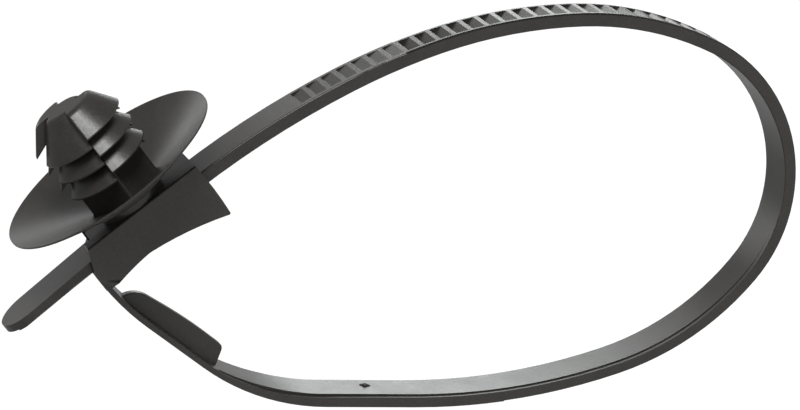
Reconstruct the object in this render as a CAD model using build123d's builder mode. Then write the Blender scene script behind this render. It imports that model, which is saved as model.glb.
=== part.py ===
from build123d import *
import os
from math import cos, degrees, radians, sin, sqrt, tan

# Releasable cable tie with a push-in stud: one nylon moulding, sizes in mm.
# The origin is on the stud's axis, in the plane where the disc's rim meets the panel.
# +Z runs up the stud to its nose, +X along the strap where it enters the head,
# and the loop hangs below the head in the XZ plane.

# Strap
strap_width = 4.8
strap_thickness = 1.15
strap_edge = 0.15          # rounding along the strap's edges
side_rail = 0.55           # lip left on each side of the shallow recess in the inner face
recess_depth = 0.1
tip_reach = 14.95          # from the stud's axis to the tail's tip, along the strap
tail_bow = 330.0           # radius of its slight bend, from the stud's axis on
tail_fall = 0.69           # how far its outer face drops up to the tip
tail_taper = 15.0          # length over which it drops

# Loop, as right-hand bends of (radius, turn in degrees) in the order the strap takes them
loop_bends = [(82, 11.1), (57.7, 8.2), (42.4, 17.3), (27, 26.2), (13.25, 104.3), (24.6, 33.6), (54.8, 19.3)]
root_bends = [(19, 34.4), (22.1, 15.6)]   # either side of the stiff leg that carries the pad
stiff_leg = 6.1
root_leg = 0.7             # straight end that joins the head
root_offset = 5.75         # from the stud's axis to the middle of the strap's root

# Ladder on the strap's outer face
rung_pitch = 1.45
rung_crest = 0.35
pocket_depth = 0.45
pocket_floor = 0.15        # flat foot of a pocket's steep wall
ladder_rail = 0.62         # margin on each side of the pockets
faint_pockets = 7          # the first ones, which are shallow
faint_depth = 0.16
step_width = 0.3           # the margin's outer part is lower past the shallow pockets
step_depth = 0.12
ladder_start = 16.1        # from the stud's axis, along the strap
ladder_length = 87.0

# Head
head_width = 6.6
head_left = 5.45           # from the stud's axis to the head's exit end
head_left_far = 4.95       # and on the far side of the tunnel, where that end is upright
head_right = 5.85          # and to its entry end
end_bulge = 0.12
exit_upright = 0.3         # down to this far below the strap's outer face
seat_to_roof = 3.5         # disc's rim plane down to the top of the head
roof_wall = 0.88
floor_wall = 1.27          # under the tunnel, at the crown of the saddle
tunnel_gap = 0.15          # above and below the strap
tunnel_side_gap = 0.2
mouth_flare = 0.3
saddle_crown = 1.5         # how far the saddle's crown is towards the strap's root
saddle_radius = 30.0       # from the crown to the horn
horn_drop = 1.7            # how far the horn's tip is below the crown
saddle_root_radius = 11.5  # from the crown to the root
root_drop = 0.75
horn_rounding = 0.15
flank_radius = 7.0         # the head's flanks curve in towards the strap's root
flank_turn = 40
flank_start = 3.6          # from the root's outer face, along the tunnel's floor
head_rounding = 0.15

# Pawl in the roof of the tunnel
pawl_width = 2.6
pawl_hinge = 2.5           # from the stud's axis to the root of the hinge
pawl_reach = 6.0           # from there to the last tooth
pawl_body = 0.42
pawl_tooth = 0.36
pawl_teeth = 3
pawl_gap = 0.12            # from the tooth tips to the plain strap that passes them
pawl_side_gap = 0.25
pawl_lift = 0.2            # room above the pawl
hinge_thickness = 0.3
hinge_length = 0.8
tooth_land = 0.15
tab_length = 1.3           # release tab, past the last tooth

# Disc
disc_radius = 10.1
dish_depth = 2.9           # at the flat middle that the neck stands on
dish_flat = 2.0            # radius of that flat
dish_bow = 0.06            # how far the dish bows below a straight cone
disc_rim = 0.16
disc_root = 0.5
boss_radius = 3.1

# Stud
neck_radius = 3.27         # to the corners of the square neck
neck_corner = 0.4
fin_radius = 4.2           # of the columns whose fins are higher
low_fin_radius = 3.9       # of the other two columns
fin_pitch = 1.78
fin_edge = 0.12
fin_slope = 52             # of a fin's outer face, in degrees
underside_slope = 22
nose_slope = 55
fins_per_column = 3
top_rim = 4.4              # rim of the highest fin
nose_height = 6.63
nose_rounding = 0.8
side_slot = 0.4            # between the front and back columns of fins
front_slot = 0.1           # between the left and right ones
slot_core = 1.4            # radius of the solid core that the slots leave

# Pad on the strap's inner face, beside the root
pad_from = 4.3             # from the strap's root, along the strap
pad_to = 13.1
pad_start_height = 0.5
pad_height = 0.93
pad_end_height = 1.27
pad_end_slant = 0.65
pad_corner = 0.6

# Gate mark on the strap's inner face
gate_back = 4.1            # before the bend that leads to the stiff leg
gate_radius = 0.95
gate_depth = 0.14
gate_nub = 0.3
gate_shift = 0.6

# Levels in the head
roof_top = -seat_to_roof
tunnel_roof = roof_top - roof_wall
strap_outer = tunnel_roof - tunnel_gap
strap_mid = strap_outer - strap_thickness / 2
tunnel_floor = strap_outer - strap_thickness - tunnel_gap
saddle_crest = tunnel_floor - floor_wall
past_all = 2 * disc_radius     # a length that clears the whole head and stud


def bend_travel(bends, heading):
    """How far a chain of right-hand bends carries the strap, and its heading after them."""
    x = z = 0.0
    for radius, turn in bends:
        last, heading = heading, heading - turn
        x += radius * (sin(radians(last)) - sin(radians(heading)))
        z += radius * (cos(radians(heading)) - cos(radians(last)))
    return x, z, heading


def leg_travel(length, heading):
    """How far a straight leg carries the strap."""
    return length * cos(radians(heading)), length * sin(radians(heading))


def side_plane(wire, distance):
    """Side-view plane on the strap's middle line, x along the strap and y to its outer face."""
    here = wire.position_at(distance, position_mode=PositionMode.LENGTH)
    ahead = wire.tangent_at(distance, position_mode=PositionMode.LENGTH)
    return Plane(origin=here, x_dir=ahead, z_dir=(0, -1, 0))


def inner_point(wire, distance, height):
    """Side-view point (x, z) at a height above the strap's inner face."""
    plane = side_plane(wire, distance)
    point = plane.origin - plane.y_dir * (strap_thickness / 2 + height)
    return point.X, point.Z


def start_plane(wire):
    """Plane across the strap at the start of a wire, y to its outer face."""
    return Plane(origin=wire @ 0, x_dir=(0, 1, 0), z_dir=wire % 0)


# Two straight legs close the loop: one leaves the head, the other runs along the loop's foot
loop_x, loop_z, foot_heading = bend_travel(loop_bends, 0)
turn_x, turn_z, stiff_heading = bend_travel(root_bends[:1], foot_heading)
stiff_x, stiff_z = leg_travel(stiff_leg, stiff_heading)
root_x, root_z, root_heading = bend_travel(root_bends[1:], stiff_heading)
rise_left = tunnel_floor - strap_mid - root_leg - loop_z - turn_z - stiff_z - root_z
foot_leg = rise_left / sin(radians(foot_heading))
foot_x, foot_z = leg_travel(foot_leg, foot_heading)
entry_leg = -root_offset - loop_x - foot_x - turn_x - stiff_x - root_x

# Middle line of the strap, from the tail's tip through the head to the end of the foot
tail_turn = tip_reach / tail_bow
tip_x = -tail_bow * sin(tail_turn)
tip_mid = strap_mid - tail_bow * (1 - cos(tail_turn))
with BuildLine(Plane.XZ) as long_run:
    leg = JernArc((tip_x, tip_mid), (cos(tail_turn), sin(tail_turn)), tail_bow, -degrees(tail_turn))
    leg = Line(leg @ 1, (entry_leg, strap_mid))
    for radius, turn in loop_bends:
        leg = JernArc(leg @ 1, leg % 1, radius, -turn)
    leg = Line(leg @ 1, leg @ 1 + (leg % 1) * foot_leg)
long_wire = long_run.wire()

# The rest of it, up into the head
with BuildLine(Plane.XZ) as root_run:
    leg = JernArc(long_wire @ 1, long_wire % 1, root_bends[0][0], -root_bends[0][1])
    leg = Line(leg @ 1, leg @ 1 + (leg % 1) * stiff_leg)
    leg = JernArc(leg @ 1, leg % 1, root_bends[1][0], -root_bends[1][1])
    leg = Line(leg @ 1, leg @ 1 + (leg % 1) * root_leg)
root_wire = root_run.wire()

with BuildPart() as strap:
    # Long run with the recessed inner face
    with BuildSketch(start_plane(long_wire)):
        section = Rectangle(strap_width, strap_thickness)
        fillet(section.vertices(), strap_edge)
        with Locations((0, -strap_thickness / 2)):
            Rectangle(strap_width - 2 * side_rail, 2 * recess_depth, mode=Mode.SUBTRACT)
    sweep(path=long_wire)

    # Plain run to the root
    with BuildSketch(start_plane(root_wire)):
        section = Rectangle(strap_width, strap_thickness)
        fillet(section.vertices(), strap_edge)
    sweep(path=root_wire)

    # The tail thins towards its tip, which is round in plan
    with BuildSketch(Plane.XZ):
        Polygon(
            (tip_x + tail_taper, strap_outer),
            (tip_x, strap_outer - tail_fall),
            (tip_x, strap_outer + strap_thickness),
            (tip_x + tail_taper, strap_outer + strap_thickness),
            align=None,
        )
    extrude(amount=strap_width, both=True, mode=Mode.SUBTRACT)
    with BuildSketch(Plane.XY.offset(strap_mid)):
        with Locations((tip_x + strap_width / 2, 0)):
            Rectangle(strap_width, 2 * strap_width, align=(Align.MAX, Align.CENTER))
        with Locations((tip_x + strap_width / 2, 0)):
            Circle(strap_width / 2, mode=Mode.SUBTRACT)
    extrude(amount=strap_thickness, both=True, mode=Mode.SUBTRACT)

    # Ladder: a pocket's steep wall is on the tail's side, and its floor ramps up to the next rung
    first_pocket = tip_reach + ladder_start
    starts = [first_pocket + i * rung_pitch for i in range(int(ladder_length / rung_pitch))]
    ramp_end = rung_pitch - rung_crest
    for depth, group in ((faint_depth, starts[:faint_pockets]), (pocket_depth, starts[faint_pockets:])):
        with BuildSketch(*[side_plane(long_wire, distance) for distance in group]):
            Polygon(
                (0, strap_thickness),
                (0, strap_thickness / 2 - depth),
                (pocket_floor, strap_thickness / 2 - depth),
                (ramp_end, strap_thickness / 2),
                (ramp_end, strap_thickness),
                align=None,
            )
        extrude(amount=strap_width / 2 - ladder_rail, both=True, mode=Mode.SUBTRACT)

    # Step along each margin of the ladder's deep part
    step_from = (starts[faint_pockets] - rung_crest) / long_wire.length
    step_to = (starts[-1] + rung_pitch) / long_wire.length
    step_wire = long_wire.trim(step_from, step_to)
    with BuildSketch(start_plane(step_wire)):
        with Locations((strap_width / 2, strap_thickness / 2), (-strap_width / 2, strap_thickness / 2)):
            Rectangle(2 * step_width, 2 * step_depth)
    sweep(path=step_wire, mode=Mode.SUBTRACT)

    # Gate mark
    gate_side = side_plane(long_wire, long_wire.length - gate_back)
    gate_floor = gate_side.origin - gate_side.y_dir * (strap_thickness / 2 - recess_depth)
    with BuildSketch(Plane(origin=gate_floor, x_dir=(0, 1, 0), z_dir=-gate_side.y_dir)):
        with Locations((gate_shift, 0)):
            Circle(gate_radius)
            Circle(gate_nub, mode=Mode.SUBTRACT)
    extrude(amount=-gate_depth, mode=Mode.SUBTRACT)

    # Pad, rounded where it starts below the head and slanted at its far end
    near_foot = root_wire.length - pad_from
    far_foot = root_wire.length - pad_to
    pad_middle = (near_foot + far_foot) / 2
    near_top = inner_point(root_wire, near_foot, pad_start_height)
    with BuildSketch(Plane.XZ) as pad_side:
        with BuildLine():
            pad_top = ThreePointArc(
                near_top,
                inner_point(root_wire, pad_middle, pad_height),
                inner_point(root_wire, far_foot, pad_end_height),
            )
            Polyline(
                pad_top @ 1,
                inner_point(root_wire, far_foot - pad_end_slant, 0),
                inner_point(root_wire, far_foot - pad_end_slant, -strap_thickness / 2),
                inner_point(root_wire, near_foot, -strap_thickness / 2),
                near_top,
            )
        make_face()
        fillet(pad_side.vertices().sort_by_distance(near_top)[0], pad_corner)
    extrude(amount=strap_width / 2, both=True)

with BuildPart() as body:
    # Head: flat roof, bulged entry end, horn, saddle of two arcs and an exit end that slants out to the root
    root_inner = -root_offset + strap_thickness / 2
    root_outer = -root_offset - strap_thickness / 2
    horn_tip = (head_right, saddle_crest - horn_drop)
    saddle_end = (root_inner, saddle_crest - root_drop)
    entry_bulge = (head_right + end_bulge, (roof_top + horn_tip[1]) / 2)
    with BuildSketch(Plane.XZ) as head_side:
        with BuildLine():
            Line((-head_left, roof_top), (head_right, roof_top))
            ThreePointArc((head_right, roof_top), entry_bulge, horn_tip)
            RadiusArc(horn_tip, (-saddle_crown, saddle_crest), -saddle_radius)
            RadiusArc((-saddle_crown, saddle_crest), saddle_end, -saddle_root_radius)
            Polyline(
                saddle_end,
                (root_outer, saddle_end[1]),
                (root_outer, tunnel_floor),
                (-head_left, roof_top),
            )
        make_face()
        fillet(head_side.vertices().sort_by_distance(horn_tip)[0], horn_rounding)
    extrude(amount=head_width / 2, both=True)

    # On the far side the exit end is shorter and upright
    with BuildSketch(Plane.XZ):
        Polygon(
            (-head_left_far, roof_top),
            (-head_left_far, strap_outer - exit_upright),
            (root_outer, tunnel_floor),
            (-past_all, roof_top),
            align=None,
        )
    extrude(amount=-head_width / 2, mode=Mode.SUBTRACT)

    # Flanks curve in towards the root, from a slanting line across each side
    flank_line = Vector(root_outer + flank_start, 0, tunnel_floor)
    with BuildSketch(Plane(origin=flank_line, x_dir=(-1, 0, -1), z_dir=(-1, 0, 1))):
        for side in (1, -1):
            with BuildLine():
                flank = CenterArc((0, side * (head_width / 2 - flank_radius)), flank_radius, side * 90,
                                  -side * flank_turn)
                Polyline(flank @ 1, (flank_radius, side * head_width), (0, side * head_width), flank @ 0)
            make_face()
    extrude(amount=past_all, both=True, mode=Mode.SUBTRACT)
    fillet(body.edges().filter_by(Axis.X).group_by(Axis.Z)[-1], head_rounding)

    # Tunnel for the strap, flared at its entry
    tunnel_width = strap_width + 2 * tunnel_side_gap
    tunnel_height = tunnel_roof - tunnel_floor
    with BuildSketch(Plane.YZ.offset(-past_all)):
        with Locations((0, (tunnel_roof + tunnel_floor) / 2)):
            Rectangle(tunnel_width, tunnel_height)
    extrude(amount=2 * past_all, mode=Mode.SUBTRACT)
    with BuildSketch(Plane.YZ.offset(head_right + end_bulge)):
        with Locations((0, (tunnel_roof + tunnel_floor) / 2)):
            Rectangle(tunnel_width + 2 * mouth_flare, tunnel_height + 2 * mouth_flare)
    extrude(amount=-mouth_flare, taper=45, mode=Mode.SUBTRACT)

    # Disc, dished towards the panel, on its round boss
    middle = (dish_flat + disc_radius) / 2
    dish_middle = -dish_depth / 2 - dish_bow
    disc_under = -dish_depth - disc_root
    with BuildSketch(Plane.XZ):
        with BuildLine():
            Line((disc_radius, 0), (disc_radius, -disc_rim))
            ThreePointArc(
                (disc_radius, -disc_rim),
                (middle, dish_middle - (disc_rim + disc_root) / 2),
                (dish_flat, disc_under),
            )
            Polyline((dish_flat, disc_under), (0, disc_under), (0, -dish_depth), (dish_flat, -dish_depth))
            ThreePointArc((dish_flat, -dish_depth), (middle, dish_middle), (disc_radius, 0))
        make_face()
    revolve(axis=Axis.Z)
    with BuildSketch(Plane.XY.offset(roof_top)):
        Circle(boss_radius)
    extrude(amount=seat_to_roof - dish_depth)

    # Square neck, with its corners on the X and Y axes, up to the lowest fins
    fin_rise = tan(radians(fin_slope))
    undercut = tan(radians(underside_slope))
    square = sqrt(2) * (neck_radius + (sqrt(2) - 1) * neck_corner)
    lowest_rim = top_rim - (fins_per_column - 1) * fin_pitch
    neck_top = lowest_rim - fin_edge / 2 + (fin_radius - square / 2) * undercut
    with BuildSketch(Plane.XY.offset(-dish_depth)):
        neck = Rectangle(square, square, rotation=45)
        fillet(neck.vertices(), neck_corner)
    extrude(amount=dish_depth + neck_top)
    low_neck_top = neck_top - fin_pitch / 2 - (fin_radius - low_fin_radius) * undercut
    with BuildSketch(Plane.XY.offset(low_neck_top)):
        Rectangle(square, square, align=(Align.MIN, Align.MIN))
        Rectangle(square, square, align=(Align.MAX, Align.MAX))
    extrude(amount=neck_top - low_neck_top, mode=Mode.SUBTRACT)

    # Four columns of conical fins on a round core, every second one half a pitch lower
    core = 0.45 * square
    valley = (fin_pitch - fin_edge) / (fin_rise - undercut)
    for quarter in range(4):
        low = quarter % 2
        radius = low_fin_radius if low else fin_radius
        highest = top_rim - low * fin_pitch / 2
        rims = [highest - i * fin_pitch for i in range(fins_per_column)]
        nose_radius = radius - (nose_height - highest) / tan(radians(nose_slope))
        outline = [(0, nose_height), (nose_radius, nose_height)]
        for rim in rims:
            depth = valley if rim > rims[-1] else radius - core
            outline.append((radius, rim))
            outline.append((radius, rim - fin_edge))
            outline.append((radius - depth, rim - fin_edge + depth * undercut))
        outline.append((core, 0))
        outline.append((0, 0))
        across = Vector(1, 0, 0).rotate(Axis.Z, 90 * (quarter - 1))
        with BuildSketch(Plane(origin=(0, 0, 0), x_dir=across, z_dir=across.cross(Vector(0, 0, 1)))):
            column = Polygon(*outline, align=None)
            fillet(column.vertices().sort_by_distance(outline[1])[0], nose_rounding)
        revolve(axis=Axis.Z, revolution_arc=90)

    # Slots between the columns
    slots_from = lowest_rim - fin_pitch / 2
    with BuildSketch(Plane.XY.offset(slots_from)):
        Rectangle(3 * fin_radius, side_slot)
        Rectangle(front_slot, 3 * fin_radius)
        Circle(slot_core, mode=Mode.SUBTRACT)
    extrude(amount=nose_height - slots_from, mode=Mode.SUBTRACT)

    # Room for the pawl, open through the roof at the exit end
    tooth_tip = strap_outer + pawl_gap
    pawl_under = tooth_tip + pawl_tooth
    pawl_top = pawl_under + pawl_body
    with BuildSketch(Plane.XZ):
        with Locations((pawl_hinge, tunnel_roof - tunnel_gap / 2)):
            Rectangle(past_all, pawl_top + pawl_lift - tunnel_roof + tunnel_gap / 2,
                      align=(Align.MAX, Align.MIN))
    extrude(amount=pawl_width / 2 + pawl_side_gap, both=True, mode=Mode.SUBTRACT)

    # Pawl: thin hinge at the entry side, teeth that face the exit, release tab at its free end
    last_tooth = pawl_hinge - pawl_reach
    tooth_ramp = rung_pitch - rung_crest
    with BuildSketch(Plane.XZ):
        with Locations((pawl_hinge + hinge_thickness, pawl_top)):
            Rectangle(pawl_reach, hinge_thickness, align=(Align.MAX, Align.MAX))
        with Locations((last_tooth - tab_length, pawl_under)):
            Rectangle(pawl_reach + tab_length - hinge_length, pawl_body,
                      align=(Align.MIN, Align.MIN))
        with Locations(*[(last_tooth + i * rung_pitch, pawl_under) for i in range(pawl_teeth)]):
            Polygon((0, 0), (0, -pawl_tooth), (tooth_land, -pawl_tooth), (tooth_ramp, 0),
                    align=None)
    extrude(amount=pawl_width / 2, both=True)

with BuildPart() as cable_tie:
    add(strap.part)
    add(body.part)

cable_tie.part.label = "cable_tie"

os.makedirs("parts", exist_ok=True)
export_step(cable_tie.part, "parts/cable_tie.step")
print("cable_tie", round(cable_tie.part.volume, 1), "mm3, entry leg", round(entry_leg, 2))
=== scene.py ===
from math import cos, radians, sin

import bmesh
import bpy
from mathutils import Matrix, Vector
from mathutils.kdtree import KDTree


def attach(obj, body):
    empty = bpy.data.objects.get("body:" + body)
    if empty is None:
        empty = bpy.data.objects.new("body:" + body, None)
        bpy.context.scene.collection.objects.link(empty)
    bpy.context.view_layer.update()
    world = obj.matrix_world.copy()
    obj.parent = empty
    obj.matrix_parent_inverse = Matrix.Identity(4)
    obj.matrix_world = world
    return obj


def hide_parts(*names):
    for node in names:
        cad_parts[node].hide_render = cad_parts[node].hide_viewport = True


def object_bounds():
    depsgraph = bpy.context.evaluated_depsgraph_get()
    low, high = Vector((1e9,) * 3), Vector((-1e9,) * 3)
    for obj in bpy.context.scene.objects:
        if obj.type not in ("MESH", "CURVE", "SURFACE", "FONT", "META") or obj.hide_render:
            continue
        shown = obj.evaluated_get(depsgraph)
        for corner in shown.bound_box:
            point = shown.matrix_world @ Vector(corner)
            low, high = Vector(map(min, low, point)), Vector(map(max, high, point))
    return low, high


# Releasable cable tie with a push-in stud, in one satin black nylon moulding.
# The scene is in metres, in the frame of the CAD model. The sizes of the moulding's forms are
# named here in millimetres, and turned into metres where their points are made.

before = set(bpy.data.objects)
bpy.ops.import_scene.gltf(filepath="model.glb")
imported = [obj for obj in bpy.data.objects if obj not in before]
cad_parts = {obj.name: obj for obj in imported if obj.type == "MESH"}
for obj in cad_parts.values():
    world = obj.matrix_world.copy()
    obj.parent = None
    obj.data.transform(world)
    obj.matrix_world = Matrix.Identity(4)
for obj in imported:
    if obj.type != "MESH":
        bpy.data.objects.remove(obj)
cad_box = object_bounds()
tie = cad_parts["cable_tie"]
scene = bpy.context.scene

MM = 0.001

# The camera stands in front of the tie's side, a little above it, rolled to the left
CAMERA_PLACE = Vector((-8.58, -359.08, 115.98)) * MM
CAMERA_RIGHT = Vector((0.7877, -0.2664, -0.5554))
CAMERA_BACK = Vector((-0.0690, -0.9341, 0.3502))
FOCAL_PIXELS = 4500
IMAGE_WIDTH = 800
SENSOR_WIDTH = 36.0
CLIP_NEAR, CLIP_FAR = 0.01, 50

# Square soft lights that face the tie: name, place in metres, side in metres, power in watts, colour
WHITE = (1, 1, 1)
LIGHTS = [
    ("key_light", (0.33, -0.50, 0.80), 0.35, 7, WHITE),
    ("back_light", (0.36, 0.93, 0.03), 0.26, 0.8, (0.95, 1, 0.98)),    # the foot of the loop
    ("back_fill", (-0.18, 0.91, 0.22), 0.24, 0.22, WHITE),             # the disc's right half
    ("disc_fill", (0.24, 0.93, 0.32), 0.2, 0.18, WHITE),               # the disc's left half
]
WORLD_LIGHT = 0.34                       # strength of the white all round, as the tie sees it
WORLD_WHITE = 1.0                        # and as the camera sees it

# The tie hangs from its panel stud, so the floor is well below the loop
FLOOR_DROP = 120 * MM
FLOOR_SIZE = 6.0
FLOOR_GREY = 0.8
FLOOR_GLOW = 0.5                         # for the camera only

# Nylon: dark and light ends of its mottle, and the part of the noise's range that they span
NYLON_DARK = (0.018, 0.0165, 0.015, 1)
NYLON_LIGHT = (0.038, 0.035, 0.031, 1)
NOISE_LOW, NOISE_HIGH = 0.3, 0.7
ROUGHNESS_LOW, ROUGHNESS_HIGH = 0.3, 0.38
MOTTLE_SCALE = 350
GRAIN_SCALE = 4500
GRAIN_DEPTH = 0.02 * MM
GRAIN_STRENGTH = 0.5
NYLON_IOR = 1.53

# Middle line of the strap in side view: a straight leg out of the head from the stud's axis,
# then right-hand bends of (radius, turn in degrees) and straight legs up to the root
STRAP_LEVEL = -5.105
STRAP_RUNS = [
    ("leg", 4.74), ("bend", 82, 11.1), ("bend", 57.7, 8.2), ("bend", 42.4, 17.3), ("bend", 27, 26.2),
    ("bend", 13.25, 104.3), ("bend", 24.6, 33.6), ("bend", 54.8, 19.3), ("leg", 7.84),
    ("bend", 19, 34.4), ("leg", 6.1), ("bend", 22.1, 15.6), ("leg", 0.7),
]
STRAP_LENGTH = 143.0                     # from the stud's axis to the root
STATION_STEP = 0.5                       # between the cross-sections of a strip along it

# Inner face of the strap: distances along that line, and heights towards the inside of the loop
BAND_FROM, BAND_TO = 6.1, 119.6          # middle band
BAND_LEVEL = 0.54
BAND_TILT = 0.028                        # its far edge is a little higher than its near one
BAND_HALF_WIDTH = 1.9
BAND_SINK = 0.3                          # how far it reaches into the strap
MARGIN_FROM = 1.83                       # near margin, from the middle of the strap
MARGIN_LEVELS = [
    (60, 0.6), (84, 0.41), (105, 0.38), (113, 0.35), (118, 0.32), (121.6, 0.25),
    (124.1, 0.13), (126.6, 0.05), (129, -0.1),
]
THIN_LEVELS = [                          # the strap thins towards its root
    (118.4, 0.56), (119.2, 0.535), (121.6, 0.5), (124.1, 0.42), (126.6, 0.25),
    (128.4, 0.09), (130, -0.03), (141.08, -0.03),
]
PAST_STRAP = 3.0                         # clears the strap's edges
PAST_PAD = 2.7                           # clears the height of the solid's pad

# Grip on the inner face beside the root: corners (distance, height, rounding)
GRIP_CORNERS = [
    (128.8, -0.3, 0), (129.3, 1.74, 0.45), (133.5, 1.86, 3.0), (138.9, 1.28, 1.5), (139.4, -0.3, 0),
]
GRIP_THICKNESS = 1.0
GRIP_EDGE = 0.12                         # width of its softened edges
GRIP_EDGE_ANGLE = 50                     # edges that turn by more are softened
ROUNDING_STEPS = 8
GRIP_FOOT_SPAN = (129.1, 139.2)
GRIP_FOOT = [(-0.75, -0.3), (0.75, -0.3), (0.45, 0.08), (-0.45, 0.08)]   # across and height

# Gate mark on the inner face: a shallow round dimple with a nub
GATE_PLACE = (114.8, 0.6)                # distance, across
DIMPLE_RADIUS = 0.5
DIMPLE_DEPTH = 0.16
NUB_RADIUS = 0.24
NUB_HEIGHT = 0.208

# Webs in the front and back slots of the stud: (distance from its axis, height), and two sides
WEB_OUTLINE = [
    (1.2, 6.62), (2.22, 6.62), (2.59, 6.53), (2.87, 6.28),
    (4.19, 4.4), (4.19, 4.28), (2.3, 5.04),
    (4.19, 2.62), (4.19, 2.5), (2.3, 3.26),
    (4.19, 0.84), (4.19, 0.72), (3.24, 1.1), (3.24, -0.04), (1.2, -0.04),
]
WEB_SIDES = (-0.045, 0.07)

# Joining and shading of the moulding's mesh
SOLID_WELD = 0.0002                      # corners of the solid's mesh nearer than this are joined
CUT_WELD = 0.001                         # and after the cuts, so are those nearer than this
SAME_CORNER = 0.001                      # corners nearer than this are the same in both meshes
SHARP_ANGLE = 30                         # edges that turn by more look sharp
FLANK_FACING = 0.999                     # how squarely a flat side faces along Y
INNER_FACING = 0.97                      # how squarely an inner face looks inwards
NORMAL_STEP = 0.1                        # between the places whose inward direction is worked out


def make_camera():
    data = bpy.data.cameras.new("photo_camera")
    data.sensor_width = SENSOR_WIDTH
    data.lens = FOCAL_PIXELS / IMAGE_WIDTH * SENSOR_WIDTH
    data.clip_start = CLIP_NEAR
    data.clip_end = CLIP_FAR
    camera = bpy.data.objects.new("photo_camera", data)
    back = CAMERA_BACK.normalized()
    up = back.cross(CAMERA_RIGHT).normalized()
    right = up.cross(back)
    axes = Matrix((right, up, back)).transposed()
    camera.matrix_world = Matrix.Translation(CAMERA_PLACE) @ axes.to_4x4()
    scene.collection.objects.link(camera)
    scene.camera = camera


def make_light(name, place, size, power, colour):
    data = bpy.data.lights.new(name, "AREA")
    data.size = size
    data.energy = power
    data.color = colour
    light = bpy.data.objects.new(name, data)
    light.location = place
    aim = (cad_box[0] + cad_box[1]) / 2 - Vector(place)
    light.rotation_mode = "QUATERNION"
    light.rotation_quaternion = aim.to_track_quat("-Z", "Y")
    scene.collection.objects.link(light)


def make_world():
    """White all round: plain for the camera, soft for the tie."""
    world = bpy.data.worlds.new("studio")
    scene.world = world
    world.use_nodes = True
    nodes, links = world.node_tree.nodes, world.node_tree.links
    nodes.clear()
    path = nodes.new("ShaderNodeLightPath")
    choice = nodes.new("ShaderNodeMixShader")
    links.new(path.outputs["Is Camera Ray"], choice.inputs["Fac"])
    for socket, strength in ((1, WORLD_LIGHT), (2, WORLD_WHITE)):
        white = nodes.new("ShaderNodeBackground")
        white.inputs["Color"].default_value = (*WHITE, 1)
        white.inputs["Strength"].default_value = strength
        links.new(white.outputs["Background"], choice.inputs[socket])
    output = nodes.new("ShaderNodeOutputWorld")
    links.new(choice.outputs["Shader"], output.inputs["Surface"])


def new_material(name):
    material = bpy.data.materials.new(name)
    material.use_nodes = True
    material.node_tree.nodes.clear()
    return material, material.node_tree.nodes, material.node_tree.links


def floor_material():
    """Pale floor: a little light of its own for the camera keeps it white where it isn't shaded."""
    material, nodes, links = new_material("white_floor")
    matte = nodes.new("ShaderNodeBsdfDiffuse")
    matte.inputs["Color"].default_value = (FLOOR_GREY, FLOOR_GREY, FLOOR_GREY, 1)
    path = nodes.new("ShaderNodeLightPath")
    level = nodes.new("ShaderNodeMath")
    level.operation = "MULTIPLY"
    level.inputs[1].default_value = FLOOR_GLOW
    links.new(path.outputs["Is Camera Ray"], level.inputs[0])
    glow = nodes.new("ShaderNodeEmission")
    links.new(level.outputs["Value"], glow.inputs["Strength"])
    both = nodes.new("ShaderNodeAddShader")
    links.new(matte.outputs["BSDF"], both.inputs[0])
    links.new(glow.outputs["Emission"], both.inputs[1])
    output = nodes.new("ShaderNodeOutputMaterial")
    links.new(both.outputs["Shader"], output.inputs["Surface"])
    return material


def make_floor():
    half = FLOOR_SIZE / 2
    level = cad_box[0].z - FLOOR_DROP
    mesh = bpy.data.meshes.new("floor")
    corners = [(-half, -half, level), (half, -half, level), (half, half, level), (-half, half, level)]
    mesh.from_pydata(corners, [], [(0, 1, 2, 3)])
    mesh.materials.append(floor_material())
    floor = bpy.data.objects.new("floor", mesh)
    scene.collection.objects.link(floor)


def nylon_material():
    """Satin black nylon, a little mottled, with the fine grain of an etched mould."""
    material, nodes, links = new_material("satin_black_nylon")
    place = nodes.new("ShaderNodeTexCoord")

    mottle = nodes.new("ShaderNodeTexNoise")
    mottle.inputs["Scale"].default_value = MOTTLE_SCALE
    mottle.inputs["Detail"].default_value = 5
    mottle.inputs["Roughness"].default_value = 0.6
    links.new(place.outputs["Object"], mottle.inputs["Vector"])

    grain = nodes.new("ShaderNodeTexNoise")
    grain.inputs["Scale"].default_value = GRAIN_SCALE
    grain.inputs["Detail"].default_value = 3
    links.new(place.outputs["Object"], grain.inputs["Vector"])

    blend = nodes.new("ShaderNodeMix")
    blend.inputs["Factor"].default_value = 0.5
    links.new(mottle.outputs["Fac"], blend.inputs["A"])
    links.new(grain.outputs["Fac"], blend.inputs["B"])

    colour = nodes.new("ShaderNodeValToRGB")
    dark, light = colour.color_ramp.elements
    dark.position = NOISE_LOW
    dark.color = NYLON_DARK
    light.position = NOISE_HIGH
    light.color = NYLON_LIGHT
    links.new(blend.outputs["Result"], colour.inputs["Fac"])

    gloss = nodes.new("ShaderNodeMapRange")
    gloss.inputs["From Min"].default_value = NOISE_LOW
    gloss.inputs["From Max"].default_value = NOISE_HIGH
    gloss.inputs["To Min"].default_value = ROUGHNESS_LOW
    gloss.inputs["To Max"].default_value = ROUGHNESS_HIGH
    links.new(blend.outputs["Result"], gloss.inputs["Value"])

    bump = nodes.new("ShaderNodeBump")
    bump.inputs["Strength"].default_value = GRAIN_STRENGTH
    bump.inputs["Distance"].default_value = GRAIN_DEPTH
    links.new(grain.outputs["Fac"], bump.inputs["Height"])

    shader = nodes.new("ShaderNodeBsdfPrincipled")
    shader.inputs["IOR"].default_value = NYLON_IOR
    links.new(colour.outputs["Color"], shader.inputs["Base Color"])
    links.new(gloss.outputs["Result"], shader.inputs["Roughness"])
    links.new(bump.outputs["Normal"], shader.inputs["Normal"])

    output = nodes.new("ShaderNodeOutputMaterial")
    links.new(shader.outputs["BSDF"], output.inputs["Surface"])
    return material


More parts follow.
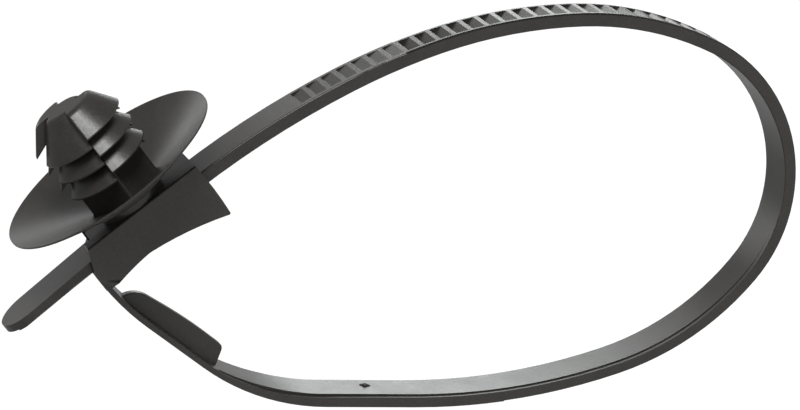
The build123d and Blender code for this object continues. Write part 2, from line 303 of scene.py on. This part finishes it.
def strap_place(distance):
    """Middle line's point and inward direction, in mm, at a distance from the stud's axis."""
    x, z, heading = 0.0, STRAP_LEVEL, 0.0
    left = distance
    for kind, size, *turn in STRAP_RUNS:
        length = size * radians(turn[0]) if turn else size
        part = min(left, length)
        if kind == "leg":
            x += part * cos(heading)
            z += part * sin(heading)
        else:
            after = heading - part / size
            x += size * (sin(heading) - sin(after))
            z += size * (cos(after) - cos(heading))
            heading = after
        left -= part
        if left <= 0:
            break
    return Vector((x, 0, z)), Vector((sin(heading), 0, -cos(heading)))


def strap_point(distance, across, height):
    """Point on the strap, in metres: across is along Y, height towards the inside of the loop."""
    place, inward = strap_place(distance)
    point = place + inward * height
    return Vector((point.x, across, point.z)) * MM


def level_at(levels, distance):
    """Height at a distance, on straight lines between the given ones."""
    for (start, low), (end, high) in zip(levels, levels[1:]):
        if distance <= end:
            return low + (high - low) * max(0.0, distance - start) / (end - start)
    return levels[-1][1]


def add_object(name, mesh):
    made = bpy.data.objects.new(name, mesh)
    scene.collection.objects.link(made)
    return made


def closed_form(name, verts, faces):
    """Object from points and faces, with every face looking outwards."""
    mesh = bpy.data.meshes.new(name)
    mesh.from_pydata(verts, [], faces)
    maker = bmesh.new()
    maker.from_mesh(mesh)
    bmesh.ops.recalc_face_normals(maker, faces=maker.faces)
    maker.to_mesh(mesh)
    maker.free()
    return add_object(name, mesh)


def plate(name, front, back):
    """Closed plate between two outlines with the same number of points."""
    count = len(front)
    faces = [tuple(range(count)), tuple(range(2 * count - 1, count - 1, -1))]
    for i in range(count):
        after = (i + 1) % count
        faces.append((i, after, after + count, i + count))
    return closed_form(name, front + back, faces)


def strap_strip(name, start, end, section):
    """Closed strip along the strap; section(distance) gives its four corners (across, height)."""
    count = max(2, round((end - start) / STATION_STEP))
    verts, faces = [], []
    for i in range(count + 1):
        distance = start + (end - start) * i / count
        verts += [strap_point(distance, across, height) for across, height in section(distance)]
    for i in range(count):
        for k in range(4):
            a, b = 4 * i + k, 4 * i + (k + 1) % 4
            faces.append((a, b, b + 4, a + 4))
    last = 4 * count
    faces += [(3, 2, 1, 0), (last, last + 1, last + 2, last + 3)]
    return closed_form(name, verts, faces)


def band_section(distance):
    half = BAND_HALF_WIDTH
    low, high = BAND_LEVEL - BAND_TILT * half, BAND_LEVEL + BAND_TILT * half
    bottom = BAND_LEVEL - BAND_SINK
    return [(-half, low), (half, high), (half, bottom), (-half, bottom)]


def margin_section(distance):
    level = level_at(MARGIN_LEVELS, distance)
    return [(-PAST_STRAP, level), (-MARGIN_FROM, level), (-MARGIN_FROM, PAST_PAD), (-PAST_STRAP, PAST_PAD)]


def thin_section(distance):
    level = level_at(THIN_LEVELS, distance)
    low, high = level - BAND_TILT * PAST_STRAP, level + BAND_TILT * PAST_STRAP
    return [(-PAST_STRAP, low), (PAST_STRAP, high), (PAST_STRAP, PAST_PAD), (-PAST_STRAP, PAST_PAD)]


def rounded(corners):
    """Outline through corners (x, y, rounding), each rounded by a quadratic curve."""
    outline = []
    for i, (x, y, size) in enumerate(corners):
        here = Vector((x, y))
        if not size:
            outline.append(here)
            continue
        before = Vector(corners[i - 1][:2]) - here
        after = Vector(corners[(i + 1) % len(corners)][:2]) - here
        start = here + before.normalized() * size
        end = here + after.normalized() * size
        for k in range(ROUNDING_STEPS + 1):
            t = k / ROUNDING_STEPS
            outline.append(start * (1 - t) ** 2 + here * 2 * t * (1 - t) + end * t ** 2)
    return outline


def make_grip():
    """Upright grip in the middle of the strap, with softened edges."""
    outline = rounded(GRIP_CORNERS)
    half = GRIP_THICKNESS / 2
    near = [strap_point(distance, -half, height) for distance, height in outline]
    far = [strap_point(distance, half, height) for distance, height in outline]
    grip = plate("grip", near, far)
    soft = grip.modifiers.new("edges", "BEVEL")
    soft.width = GRIP_EDGE * MM
    soft.segments = 2
    soft.limit_method = "ANGLE"
    soft.angle_limit = radians(GRIP_EDGE_ANGLE)
    return grip


def gate_round(name, radius, depth):
    """Flattened ball on the inner face at the gate mark."""
    distance, across = GATE_PLACE
    centre = strap_point(distance, across, BAND_LEVEL + BAND_TILT * across)
    inward = strap_place(distance)[1]
    maker = bmesh.new()
    bmesh.ops.create_uvsphere(maker, u_segments=32, v_segments=16, radius=radius * MM)
    for vert in maker.verts:
        vert.co.z *= depth / radius
    turn = inward.to_track_quat("Z", "Y").to_matrix().to_4x4()
    bmesh.ops.transform(maker, matrix=Matrix.Translation(centre) @ turn, verts=maker.verts)
    mesh = bpy.data.meshes.new(name)
    maker.to_mesh(mesh)
    maker.free()
    return add_object(name, mesh)


def slot_web(name, turn):
    """Web that closes the thin slot between two columns of fins, with the higher column's outline."""
    sides = []
    for side in WEB_SIDES:
        sides.append([Vector((turn * side, -turn * reach, height)) * MM for reach, height in WEB_OUTLINE])
    return plate(name, *sides)


def weld(mesh, distance):
    """Joins the corners of a mesh that are nearer than a distance in mm."""
    maker = bmesh.new()
    maker.from_mesh(mesh)
    bmesh.ops.remove_doubles(maker, verts=maker.verts, dist=distance * MM)
    maker.to_mesh(mesh)
    maker.free()


def combine(target, other, operation):
    """Adds or takes away a closed form."""
    step = target.modifiers.new(other.name, "BOOLEAN")
    step.object = other
    step.operation = operation
    step.solver = "EXACT"


def corner_key(point):
    """A corner's place as whole numbers, to find the same corner in another mesh."""
    return tuple(round(value / (SAME_CORNER * MM)) for value in point)


def inward_finder():
    """Function from a point to the inward direction of the strap there."""
    count = round(STRAP_LENGTH / NORMAL_STEP)
    places = [strap_place(i * NORMAL_STEP) for i in range(count)]
    tree = KDTree(count)
    for i, (place, inward) in enumerate(places):
        tree.insert(place * MM, i)
    tree.balance()
    return lambda point: places[tree.find((point.x, 0, point.z))[1]][1]


def keep_normals(shape, solid):
    """The solid's own shading where it is unchanged, flat flanks, and one smooth inner face."""
    inward_at = inward_finder()
    known = {}
    for face in solid.polygons:
        corners = {}
        for i in face.loop_indices:
            point = solid.vertices[solid.loops[i].vertex_index].co
            corners[corner_key(point)] = solid.corner_normals[i].vector.copy()
        known[frozenset(corners)] = corners

    normals = [corner.vector.copy() for corner in shape.corner_normals]
    for face in shape.polygons:
        points = {i: shape.vertices[shape.loops[i].vertex_index].co for i in face.loop_indices}
        same = known.get(frozenset(corner_key(point) for point in points.values()))
        flank = abs(face.normal.y) > FLANK_FACING
        inner = face.normal.dot(inward_at(face.center)) > INNER_FACING
        for i, point in points.items():
            if same:
                normals[i] = same[corner_key(point)]
            elif flank:
                normals[i] = face.normal.copy()
            elif inner:
                normals[i] = inward_at(point)
    shape.normals_split_custom_set(normals)


def make_moulding():
    """The solid with finer forms: stepped inner face, thin root, grip, gate mark and stud webs."""
    mesh = tie.data.copy()
    weld(mesh, SOLID_WELD)
    rough = add_object("rough", mesh)
    steps = [
        ("UNION", strap_strip("band", BAND_FROM, BAND_TO, band_section)),
        ("UNION", slot_web("front_web", 1)),
        ("UNION", slot_web("back_web", -1)),
        ("DIFFERENCE", strap_strip("margin", MARGIN_LEVELS[0][0], MARGIN_LEVELS[-1][0], margin_section)),
        ("DIFFERENCE", strap_strip("thin", THIN_LEVELS[0][0], THIN_LEVELS[-1][0], thin_section)),
        ("DIFFERENCE", gate_round("dimple", DIMPLE_RADIUS, DIMPLE_DEPTH)),
        ("UNION", strap_strip("foot", *GRIP_FOOT_SPAN, lambda distance: GRIP_FOOT)),
        ("UNION", make_grip()),
        ("UNION", gate_round("nub", NUB_RADIUS, NUB_HEIGHT)),
    ]
    for operation, other in steps:
        combine(rough, other, operation)

    depsgraph = bpy.context.evaluated_depsgraph_get()
    shape = bpy.data.meshes.new_from_object(rough.evaluated_get(depsgraph))
    bpy.data.objects.remove(rough)
    for operation, other in steps:
        bpy.data.objects.remove(other)
    shape.name = "moulding"
    weld(shape, CUT_WELD)
    shape.shade_smooth()
    shape.set_sharp_from_angle(angle=radians(SHARP_ANGLE))
    keep_normals(shape, tie.data)
    shape.materials.clear()
    shape.materials.append(nylon_material())
    moulding = add_object("moulding", shape)
    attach(moulding, "root")
    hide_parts("cable_tie")


make_camera()
make_world()
make_floor()
for light in LIGHTS:
    make_light(*light)
make_moulding()

scene.view_settings.view_transform = "Standard"
